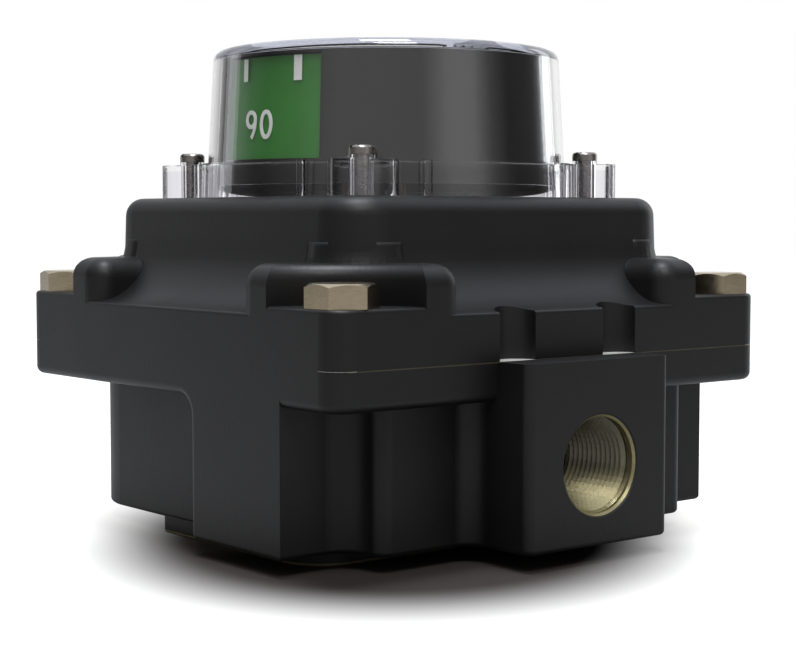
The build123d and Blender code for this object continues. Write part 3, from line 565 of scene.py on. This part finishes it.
def ribbon(mesh, line, width, centre, level):
    """Add a printed stroke along a centre line, wrapped on the sectors at an angle and height."""
    first = None
    for place, (across, up) in enumerate(line):
        before = line[max(place - 1, 0)]
        after = line[min(place + 1, len(line) - 1)]
        if math.dist(line[0], line[-1]) < 1e-6 and place in (0, len(line) - 1):
            before, after = line[-2], line[1]
        length = math.dist(before, after)
        side = (
            (after[1] - before[1]) / length * width / 2,
            (before[0] - after[0]) / length * width / 2,
        )
        row = []
        for sign, lift in ((1, ink_depth), (-1, ink_depth), (-1, -ink_depth), (1, -ink_depth)):
            height = level + up + sign * side[1]
            radius = sector_radius(height) + lift
            angle = centre + (across + sign * side[0]) / radius
            point = (radius * math.cos(angle), radius * math.sin(angle), height)
            row.append(mesh.verts.new(point))
        if first is None:
            mesh.faces.new(row)
        else:
            for edge in range(4):
                after_edge = (edge + 1) % 4
                mesh.faces.new((first[edge], first[after_edge], row[after_edge], row[edge]))
        first = row
    mesh.faces.new(list(reversed(first)))


white_ink = Finish("white_ink")
ink_grain = white_ink.noise(900.0, 3.0, 0.6)
ink_white = white_ink.shade(
    white_ink.mix(ink_grain, (0.80, 0.80, 0.77), (0.90, 0.90, 0.88)), 0.38 + ink_grain * 0.1,
    Normal=white_ink.bump(ink_grain, 0.00004, 0.3),
)
for name, angles, digits in (
    ("open_marks", (188.0, 8.0), "90"),
    ("closed_marks", (278.0, 98.0), "0"),
):
    marks = bmesh.new()
    for angle in angles:
        centre = math.radians(angle)
        for offset, width, low, high in scale_strokes:
            rise = [(0.0, (high - low) * step / stroke_steps) for step in range(stroke_steps + 1)]
            ribbon(marks, rise, width, centre + math.radians(offset), low)
        for place, digit in enumerate(digits):
            shift = (place - (len(digits) - 1) / 2) * (figure_width + figure_gap)
            line = [(across + shift, up) for across, up in figure(digit)]
            ribbon(marks, line, stroke, centre - figure_turn, figure_level)
    bmesh.ops.recalc_face_normals(marks, faces=marks.faces)
    marks_mesh = bpy.data.meshes.new(name)
    marks.to_mesh(marks_mesh)
    marks.free()
    marks_mesh.materials.append(ink_white)
    printed_marks = bpy.data.objects.new(name, marks_mesh)
    bpy.context.scene.collection.objects.link(printed_marks)
    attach(printed_marks, "shaft")

# ---- dome ----------------------------------------------------------------------------------------
# Clear polycarbonate, moulded in one piece. Its faint grey tint shows where the moulding is thick,
# at the flange and the crown. Shadow and diffuse rays pass straight through it.
clear = Finish("clear_polycarbonate")
flow = clear.noise(22.0, 2.0, 0.5)
scuff = clear.noise(1500.0, 3.0, 0.7)
clear_skin = clear.bump(flow + scuff * 0.02, 0.0002, 0.012)
_, _, clear_z = clear.parts(clear.place())
dome_low, dome_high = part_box("dome")
dome_flange = 0.0085
dome_crown = 0.0035
thick = (clear_z < dome_low[2] + dome_flange) + (clear_z > dome_high[2] - dome_crown)
tint = clear.mix(thick.math("MINIMUM", 1.0), (0.955, 0.955, 0.965), (0.84, 0.83, 0.86))
clear_surface = clear.node("ShaderNodeBsdfPrincipled", None, {
    "Base Color": tint, "Roughness": scuff * 0.02, "IOR": 1.58,
    "Transmission Weight": 1.0, "Normal": clear_skin,
})
open_air = clear.node("ShaderNodeBsdfTransparent", None, {"Color": (0.93, 0.94, 0.94)})
shadow_ray = clear.node("ShaderNodeLightPath", out="Is Shadow Ray")
diffuse_ray = clear.node("ShaderNodeLightPath", out="Is Diffuse Ray")
straight = (shadow_ray + diffuse_ray).math("MINIMUM", 1.0)
clear_end = clear.node("ShaderNodeMixShader", None, {0: straight, 1: clear_surface, 2: open_air})
clear.node("ShaderNodeOutputMaterial", None, {"Surface": clear_end})
put_finish("dome", clear.material)
